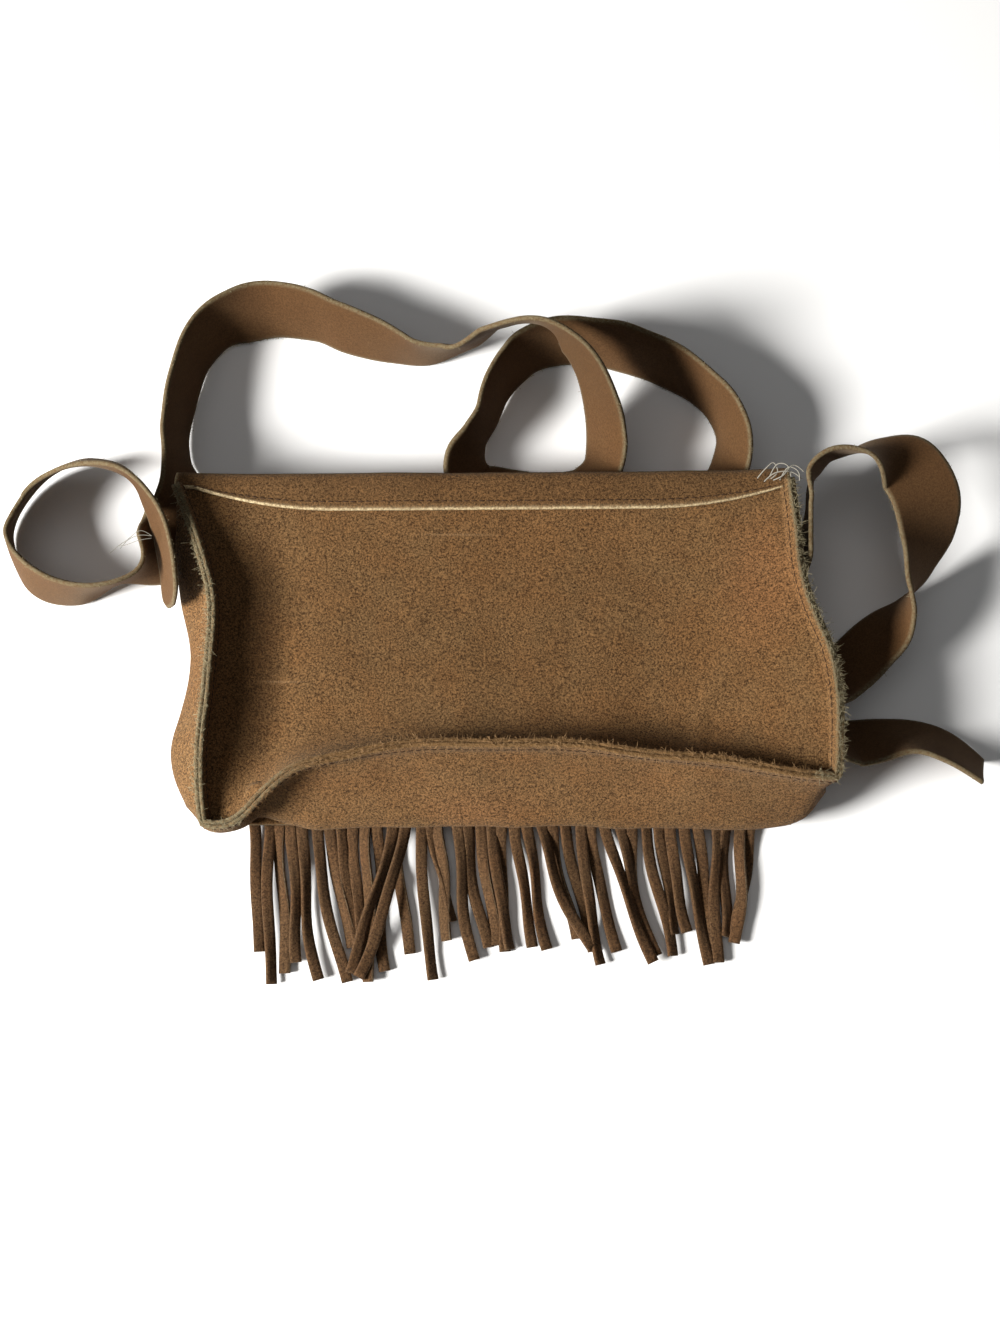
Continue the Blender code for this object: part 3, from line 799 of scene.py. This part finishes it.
# Each strand: where it leaves the strip along x, where its tip lies (x, y), its layer and its twist.
STRANDS = [
    (-118, -112, -133, 0, 0.3), (-110, -107, -148, 1, 0.5), (-105, -101, -143, 0, -0.4),
    (-100, -94, -138, 1, 0.4), (-95, -85, -146, 1, 0.6), (-88, -73, -147, 1, 0.3),
    (-83, -69, -131, 0, -0.3), (-77, -62, -144, 0, 0.5), (-70, -66, -126, 0, 0.2),
    (-64, -61, -147, 1, -0.5), (-59, -53, -142, 0, 0.4), (-50, -71, -143, 2, 0.7),
    (-44, -67, -145, 3, 0.5), (-52, -41, -134, 0, -0.2), (-38, -31, -146, 1, 0.4),
    (-33, -23, -119, 0, 0.9), (-30, -24, -128, 1, -0.5), (-21, -12, -137, 1, 0.3),
    (-16, -7, -131, 0, 0.4), (-10, -2, -130, 0, -0.3), (-5, 6, -132, 1, 0.5),
    (1, 2, -133, 0, 0.3), (7, 15, -131, 1, 0.4), (12, 23, -132, 0, 0.6),
    (18, 42, -131, 2, 0.5), (24, 35, -127, 0, -0.4), (30, 45, -133, 0, 0.4),
    (38, 48, -139, 1, 0.5), (43, 54, -133, 0, 0.2), (49, 72, -138, 2, 0.5),
    (56, 74, -135, 1, 0.4), (62, 67, -130, 0, -0.4), (69, 81, -135, 1, 0.4),
    (75, 84, -125, 0, 0.5), (81, 88, -124, 1, 0.2), (88, 97, -139, 1, 0.4),
    (94, 99, -132, 0, -0.3), (103, 102, -138, 1, 0.3), (108, 105, -126, 0, 0.6),
    (115, 111, -129, 1, -0.4), (120, 112, -124, 0, 0.3),
]
STRAND_HALF_WIDTH, STRAND_HALF_DEPTH = 2.7, 1.0
STRAND_STATIONS = 30
STRAND_SECTION = np.array([(-1, -0.55), (-0.86, -1), (-0.3, -1), (0.3, -1), (0.86, -1), (1, -0.55),
                           (1, 0.55), (0.86, 1), (0.3, 1), (-0.3, 1), (-0.86, 1), (-1, 0.55)])
STRAND_CUT = np.array([0.0] * 11 + [1.0])      # the knife left a pale line along the last corner


def strands():
    """Each strand's middle line is a cubic from its root, straight down at first, to its tip, with a
    wander of two sine waves. Its height comes down from the strip to its own layer, and its
    section turns slowly about the line."""
    root, tip_x, tip_y, layer, twist = np.array(STRANDS, float).T[:, :, None]
    t = np.linspace(0, 1, STRAND_STATIONS)[None]
    number = np.arange(len(STRANDS))[:, None]
    bend = t**1.6
    wander = t * (1 - 0.3 * t) * 1.8 * np.sin(5.0 * t + number * 1.9) + 0.6 * np.sin(9 * t + number)
    x = root + (tip_x - root) * bend + wander * np.clip(t * 4, 0, 1)
    y = ROOT_Y + (tip_y - ROOT_Y) * t
    down = 1 / (1 + np.exp(-(t - 0.28) * 22))
    low = STRAND_HALF_WIDTH * np.abs(np.sin(twist * t)) + STRAND_HALF_DEPTH + 0.1
    z = (1 - down) * 3.6 + down * (low + 2.3 * layer * np.sin(np.pi * np.clip(t, 0, 0.85)) ** 0.6)
    centres = np.stack([x, y, z + 0 * x], -1)
    along = unit(np.gradient(centres, axis=1))
    level = unit(np.cross(along, [0.0, 0.0, 1.0]))
    normal = np.cross(level, along)
    turn = twist * np.sin(2.2 * t) + 0.25 * np.sin(7 * t + number)
    turn = turn[..., None] * np.clip(t * 5, 0, 1)[..., None]
    sides = level * np.cos(turn) + normal * np.sin(turn)
    ups = normal * np.cos(turn) - level * np.sin(turn)
    return centres, sides * STRAND_HALF_WIDTH, ups * STRAND_HALF_DEPTH


strand_centres, strand_sides, strand_ups = strands()
fringe = sweep_many("fringe_strands", strand_centres, strand_sides, strand_ups, STRAND_SECTION,
                    STRAND_CUT, fringe_suede)


def fringe_strip():
    """The uncut head of the fringe, a flat strip sewn on the inside of the hem."""
    x = np.linspace(-121, 121, 60)[None, :]
    y = np.linspace(ROOT_Y + 1.5, -50, 6)[:, None]
    grid = np.stack([x + 0 * y, y + 0 * x, 3.6 + 0 * x + 0 * y], -1)
    faces = grid_faces(6, 60)
    distance = np.full(grid[..., 0].size, 9.0)
    return suede_sheet("fringe_strip", grid, faces, distance, fringe_suede)


strip = fringe_strip()
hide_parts("fringe")

# %% [markdown]
# ## The straps
#
# A flat strap bends easily one way and not at all the other, so it stands on edge in curves and
# lies down only where something presses on it. Its route is a list of places for the middle of
# its width, each with the direction that the width points. Between them runs a
# smooth curve, and the width is kept square to it.

# %% Strap routes
STRAP_WIDTH = 35.0
STRAP_THICK = 2.2
LONG_STRAP = [
    ((-155.5, 27, 33), (0.35, 0, 0.94)), ((-158, 50, 37), (0.33, 0, 0.94)),
    ((-163.5, 70, 43), (0.3, -0.1, 0.95)), ((-178, 88, 45), (0.25, -0.3, 0.92)),
    ((-206, 97, 34), (0.1, -0.42, 0.9)), ((-230, 89, 20.5), (0.16, -0.36, 0.92)),
    ((-240, 67, 18), (0.22, -0.3, 0.93)), ((-230, 46, 17.5), (0.2, 0.1, 0.97)),
    ((-208, 36.5, 17), (0.05, 0.05, 0.99)), ((-186, 41, 15.5), (-0.12, -0.35, 0.92)),
    ((-170, 52, 10.5), (-0.6, -0.45, 0.58)), ((-161, 65, 8.8), (-0.84, -0.3, 0.42)),
    ((-157, 78, 9), (-0.82, -0.15, 0.5)), ((-156.5, 90, 13), (-0.5, -0.15, 0.85)),
    ((-158.5, 105, 17), (-0.17, -0.2, 0.96)), ((-160.5, 120, 17.5), (-0.15, -0.2, 0.96)),
    ((-157, 147, 17.5), (-0.22, -0.22, 0.94)), ((-152, 164, 17.5), (-0.25, -0.05, 0.96)),
    ((-141, 178, 17.5), (-0.3, 0.14, 0.94)), ((-130, 183, 17), (-0.34, 0.31, 0.89)),
    ((-115, 186, 16.5), (-0.23, 0.43, 0.87)), ((-95, 182.5, 17), (-0.17, 0.37, 0.91)),
    ((-80, 176, 17), (-0.14, 0.34, 0.93)), ((-60, 168.5, 17.5), (-0.09, 0.2, 0.97)),
    ((-40, 162, 19), (0.0, -0.1, 0.99)), ((-20, 162, 27), (0.0, -0.3, 0.95)),
    ((0, 164, 46), (0.0, -0.4, 0.92)), ((20, 160, 57.5), (-0.03, -0.4, 0.91)),
    ((36, 148, 55), (0.07, -0.14, 0.98)), ((47, 135, 38), (0.34, -0.37, 0.85)),
    ((52, 120.5, 22), (0.45, -0.33, 0.82)), ((51, 104, 16.5), (0.5, -0.25, 0.83)),
    ((44, 94, 12.5), (0.5, -0.55, 0.65)), ((31, 90.5, 10.4), (0.15, -0.8, 0.55)),
    ((15, 90, 10.2), (-0.05, -0.81, 0.54)), ((-2, 93, 11.2), (-0.35, -0.7, 0.58)),
    ((-14, 97, 13.5), (-0.6, -0.4, 0.7)), ((-15.5, 106, 15.5), (-0.55, -0.3, 0.78)),
    ((-12, 117, 16.5), (-0.36, -0.37, 0.86)), ((-7, 128, 16.5), (-0.32, -0.4, 0.86)),
    ((-1, 144, 17), (-0.34, -0.17, 0.92)), ((6, 155, 16.5), (-0.4, -0.1, 0.91)),
    ((14, 163, 16.5), (-0.42, 0.05, 0.9)), ((29, 168.5, 16.5), (-0.3, 0.25, 0.92)),
    ((55, 166.5, 17), (0.08, 0.26, 0.96)), ((71, 161.5, 17), (0.09, 0.23, 0.97)),
    ((87, 154, 17), (0.12, 0.17, 0.97)), ((101, 143.5, 17), (0.2, 0, 0.98)),
    ((110, 133, 17), (0.23, -0.06, 0.97)), ((115, 120, 16.5), (0.31, -0.2, 0.93)),
    ((114, 106, 15.5), (0.4, -0.25, 0.88)), ((110, 95, 13.5), (0.35, -0.5, 0.76)),
]
SHORT_STRAP = [
    ((144.5, 42, 28), (0.1, 0, 0.99)), ((147, 60, 28), (0.0, 0.05, 0.99)),
    ((149.5, 78, 31), (-0.1, 0.1, 0.98)), ((151, 92, 36), (-0.15, 0.05, 0.97)),
    ((157, 99, 40), (-0.12, -0.15, 0.97)), ((168, 101, 42), (-0.18, -0.28, 0.93)),
    ((181, 100.5, 43.5), (-0.36, -0.56, 0.74)), ((194, 93, 44), (-0.72, -0.68, 0.15)),
    ((202, 78, 43), (-0.88, -0.45, 0.1)), ((203.5, 62, 37), (-0.85, -0.35, 0.4)),
    ((202, 50, 31), (-0.66, -0.3, 0.7)), ((200, 40, 25), (-0.4, -0.3, 0.87)),
    ((195.5, 30, 20), (-0.05, -0.45, 0.9)), ((187, 20, 16.5), (0.25, -0.62, 0.75)),
    ((175, 8, 15), (0.32, -0.68, 0.66)), ((163, -5, 15), (0.35, -0.6, 0.72)),
    ((156.5, -17, 16), (0.3, -0.4, 0.87)), ((155, -27, 17.5), (0.05, -0.25, 0.97)),
    ((159, -35, 16.5), (-0.1, -0.5, 0.86)), ((168, -36, 14), (-0.15, -0.7, 0.68)),
    ((194, -33, 16), (-0.17, -0.56, 0.8)), ((211, -38, 16.5), (-0.37, -0.45, 0.8)),
    ((228, -50, 15.5), (-0.55, -0.15, 0.82)),
]
STRAP_COLUMNS = 19
STRAP_STEP = 1.6             # between the rows of points along a strap
ROUND_END = 9.0              # how much of a strap its round tip takes


def widened(values, reach):
    """The largest value within reach of each place, then a running mean over as far."""
    padded = np.pad(values, 2 * reach, mode="edge")
    highest = np.lib.stride_tricks.sliding_window_view(padded, 2 * reach + 1).max(1)
    return np.lib.stride_tricks.sliding_window_view(highest, 2 * reach + 1).mean(1)


def strap_middle(stations, count):
    """The strap's middle line and, square to it, which way its width points, lifted off the table."""
    rows = [(*middle, *np.array(across) / np.linalg.norm(across)) for middle, across in stations]
    curve = smooth_curve(rows, count)
    middle, across = curve[:, :3], curve[:, 3:]
    along = unit(np.gradient(middle, axis=0))
    across = unit(across - (across * along).sum(1)[:, None] * along)
    low = middle[:, 2] - STRAP_WIDTH / 2 * np.abs(across[:, 2])
    middle[:, 2] += widened(np.clip(STRAP_THICK / 2 + 0.2 - low, 0, None), count // 40)
    return middle, across, np.cross(across, along)


def strap(name, stations, length):
    """Places across the width, from -1 to 1, narrowed to a half circle at the start, with the
    edges curled back a little and wavering as a knife cut does."""
    count = int(length / STRAP_STEP)
    middle, across, face = strap_middle(stations, count)
    place = np.linspace(0, length, count)
    half = STRAP_WIDTH / 2 + 0.35 * np.sin(place * 0.045) + 0.2 * np.sin(place * 0.21)
    near = np.clip(1 - place / ROUND_END, 0, 0.93)
    half = half * np.sqrt(1 - near**2)
    t = np.linspace(-1, 1, STRAP_COLUMNS)
    grid = middle[:, None] + across[:, None] * half[:, None, None] * t[None, :, None]
    grid += face[:, None] * (0.6 * t**2 - 0.2)[None, :, None]
    grid += face[:, None] * ripple(grid, 30, 0.18, 31)[..., None]
    distance = half[:, None] * (1 - np.abs(t))
    distance = np.minimum(distance, np.minimum(place, length - place)[:, None])
    faces = grid_faces(count, STRAP_COLUMNS)
    return suede_sheet(name, grid, faces, distance, strap_suede, STRAP_THICK)


def route_length(stations):
    """The length of the smooth curve through a route, in mm."""
    line = smooth_curve([middle for middle, _ in stations], 2000)
    return float(np.linalg.norm(np.diff(line, axis=0), axis=1).sum())


long_length, short_length = route_length(LONG_STRAP), route_length(SHORT_STRAP)
print("long strap", round(long_length), "mm, short strap", round(short_length), "mm")

# %% [markdown]
# Both straps are made alike, so one function makes either from its route. Each has a round tip
# where it is sewn on, and its measured length is the length it is made to.

# %% Straps
long_strap = strap("long_strap_suede", LONG_STRAP, long_length)
short_strap = strap("short_strap_suede", SHORT_STRAP, short_length)
for piece, node, length in ((long_strap, "long_strap", long_length),
                            (short_strap, "short_strap", short_length)):
    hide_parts(node)

# %% [markdown]
# ## Fuzz on the raw edges
#
# A cut edge of suede frays into short fibres. A few thousand hairs, each a rod of three sides,
# are enough: they break the edge's clean line and catch the light. They grow along an edge line,
# mostly the way the leather points there, and each bends to a side of its own.

# %% Hairs
THIN_SECTION = np.array([(0.0, 1.0), (-0.87, -0.5), (0.87, -0.5)])


def plain_material(name, colour, roughness=0.9):
    """A matt material of one colour."""
    return new_material(name, {"Base Color": colour, "Roughness": roughness,
                               "Specular IOR Level": 0.15})


def rods_along(name, centres, radius, section, finish):
    """Rods that follow their centres (rods x stations x 3), each with its own radius."""
    along = unit(np.gradient(centres, axis=1))
    level = unit(np.cross(along, [0.3, 0.1, 1.0]))
    normal = np.cross(level, along)
    thick = np.broadcast_to(np.asarray(radius, float).reshape(-1, 1, 1), (*centres.shape[:2], 1))
    return sweep_many(name, centres, level * thick, normal * thick, section,
                      np.zeros(len(section)), finish)


def hairs(name, line, direction, count, length, seed, finish):
    """That many hairs at random places on a line. A hair leaves along the direction with a random
    lean and bends further the same way: place + direction t + bend t squared."""
    draw = np.random.default_rng(seed)
    at = draw.uniform(0, len(line) - 1.001, count)
    low = at.astype(int)
    share = (at - low)[:, None]
    foot = (1 - share) * line[low] + share * line[low + 1] + draw.normal(0, 0.35, (count, 3))
    lean = unit(direction[low] + draw.normal(0, 0.55, (count, 3)))
    bend = draw.normal(0, 0.6, (count, 3))
    reach = (length * draw.uniform(0.35, 1.0, count) ** 1.6)[:, None, None]
    t = np.linspace(0, 1, 4)[None, :, None]
    centres = foot[:, None] + reach * (lean[:, None] * t + bend[:, None] * t**2 - 0.15 * lean[:, None])
    centres[..., 2] = np.maximum(centres[..., 2], 0.3)
    return rods_along(name, centres, draw.uniform(0.05, 0.1, count), THIN_SECTION, finish)


grey_fuzz = plain_material("grey_fuzz", rgb(132, 122, 96))
brown_fuzz = plain_material("brown_fuzz", rgb(136, 106, 72))
away = unit(seam_out - (seam_out * seam_stand).sum(1)[:, None] * seam_stand)
panel_edge = seam_line + FLANGE * seam_stand
gusset_edge = panel_edge + away * (LEATHER + SEAM_GAP)
SEAM_HAIR, STRAP_HAIR = 2.6, 1.2   # the longest hairs, in mm
HAIRS_PER_MM = 1.1                 # along a strap's edge
corner_left, corner_right = UP + 12, UP + ACROSS - 10
# Each run of the raw seam: its points, how many hairs stand on each of its two edges, their colour.
RUNS = {"left": (slice(0, corner_left), 1000, grey_fuzz),
        "bottom": (slice(corner_left, corner_right), 1800, brown_fuzz),
        "right": (slice(corner_right, None), 1000, grey_fuzz)}
for side_name, (run, count, fuzz) in RUNS.items():
    for edge_name, edge in (("panel", panel_edge), ("gusset", gusset_edge)):
        hairs(f"fuzz_{side_name}_{edge_name}", edge[run], seam_stand[run] + 0.4 * away[run],
              count, SEAM_HAIR, len(side_name) + len(edge_name), fuzz)

# %% [markdown]
# Straps are cut too, so their edges carry a shorter fuzz.

# %% Strap fuzz
for strap_name, stations, length in (("long", LONG_STRAP, long_length),
                                     ("short", SHORT_STRAP, short_length)):
    middle, across, _ = strap_middle(stations, int(length / STRAP_STEP))
    for sign, edge_name in ((1, "upper"), (-1, "lower")):
        edge = middle[6:-2] + sign * across[6:-2] * STRAP_WIDTH / 2
        hairs(f"fuzz_{strap_name}_{edge_name}", edge, sign * across[6:-2],
              int(length * HAIRS_PER_MM), STRAP_HAIR, 40 + sign + len(strap_name),
              grey_fuzz)

# %% [markdown]
# ## Stitches and loose threads
#
# A stitch is a short bar of thread that rises a little from the leather and dives back in. The
# rows run on both sides of the raw seam, just above the fold, and along the flap's sewn edge.

# %% Stitch rows
ROUND_SECTION = np.stack([np.cos(np.arange(6) * np.pi / 3), np.sin(np.arange(6) * np.pi / 3)], 1)
brown_thread = plain_material("brown_thread", rgb(50, 34, 20), 0.7)
grey_thread = plain_material("grey_thread", rgb(128, 124, 114), 0.7)


PITCH, STITCH, THREAD = 3.6, 2.7, 0.28   # from stitch to stitch, a stitch's length, its radius


def stitches(name, line, normal):
    """A row of stitches along a line. Each follows the line over its own length, sunk by a sine at
    its ends along the surface's normal."""
    length = lengths_along(line)
    starts = np.arange(1.0, length[-1] - PITCH, PITCH)
    t = np.linspace(0, 1, 5)
    at = starts[:, None] + STITCH * t
    read = [np.interp(at, length, line[:, axis]) for axis in range(3)]
    out = [np.interp(at, length, normal[:, axis]) for axis in range(3)]
    rise = (0.38 * np.sin(np.pi * t) - 0.22)[None, :, None]
    centres = np.stack(read, -1) + unit(np.stack(out, -1)) * rise
    rods_along(name, centres, np.full(len(starts), THREAD), ROUND_SECTION, brown_thread)


STITCH_UP = 3.2
panel_side = seam_line + STITCH_UP * seam_stand - away * (LEATHER / 2)
gusset_side = seam_line + STITCH_UP * seam_stand + away * (1.5 * LEATHER + SEAM_GAP)
stitches("seam_stitches_panel", panel_side, -away)
stitches("seam_stitches_gusset", gusset_side, away)
flap_row = flap_surface()[-5]
flap_row = flap_row[6:-6] + [0, 0, LEATHER / 2]
stitches("flap_stitches", flap_row, np.tile([0.0, 0.0, 1.0], (len(flap_row), 1)))
middle, across, face = strap_middle(LONG_STRAP, int(long_length / STRAP_STEP))
for sign, edge_name in ((1, "upper"), (-1, "lower")):
    row = middle[4:22] + sign * across[4:22] * 12.5 - face[4:22] * (STRAP_THICK / 2 + 0.1)
    stitches(f"tab_stitches_{edge_name}", row, -face[4:22])

# %% [markdown]
# Where the sewing was tied off, thread ends were left: a tuft at the upper right corner and a
# few thin ends at the ring's tab. Each is one rod along a short curve.

# %% Loose threads


def loose_thread(name, points, radius):
    """One thread through the given points."""
    rods_along(name, smooth_curve(points, 40)[None], [radius], ROUND_SECTION, grey_thread)


THICK_THREAD, FINE_THREAD = 0.3, 0.14      # radius in mm
LOOSE = {
    "corner_thread_a": [(122, 86, 46), (126, 90, 50), (129, 92, 51), (131, 88, 50), (128, 85, 48)],
    "corner_thread_b": [(127, 85, 48), (131, 91, 52), (135, 90, 53), (137, 85, 51)],
    "corner_thread_c": [(132, 84, 49), (136, 89, 53), (140, 87, 53), (141, 83, 51)],
    "corner_thread_d": [(125, 84, 47), (130, 87, 51), (137, 87, 52), (142, 84, 51)],
    "corner_thread_e": [(129, 84, 49), (133, 85, 53), (138, 90, 53), (143, 87, 52)],
    "tab_thread_a": [(-164, 58, 44), (-170, 58, 45), (-177, 55, 44), (-184, 50, 42)],
    "tab_thread_b": [(-164, 57, 44), (-170, 55.5, 45), (-176, 54, 43), (-180, 54, 41)],
    "tab_thread_c": [(-164, 58, 44), (-169, 60, 46), (-174, 57, 45), (-179, 52, 43)],
}
for thread_name, points in LOOSE.items():
    loose_thread(thread_name, points, THICK_THREAD if "corner" in thread_name else FINE_THREAD)
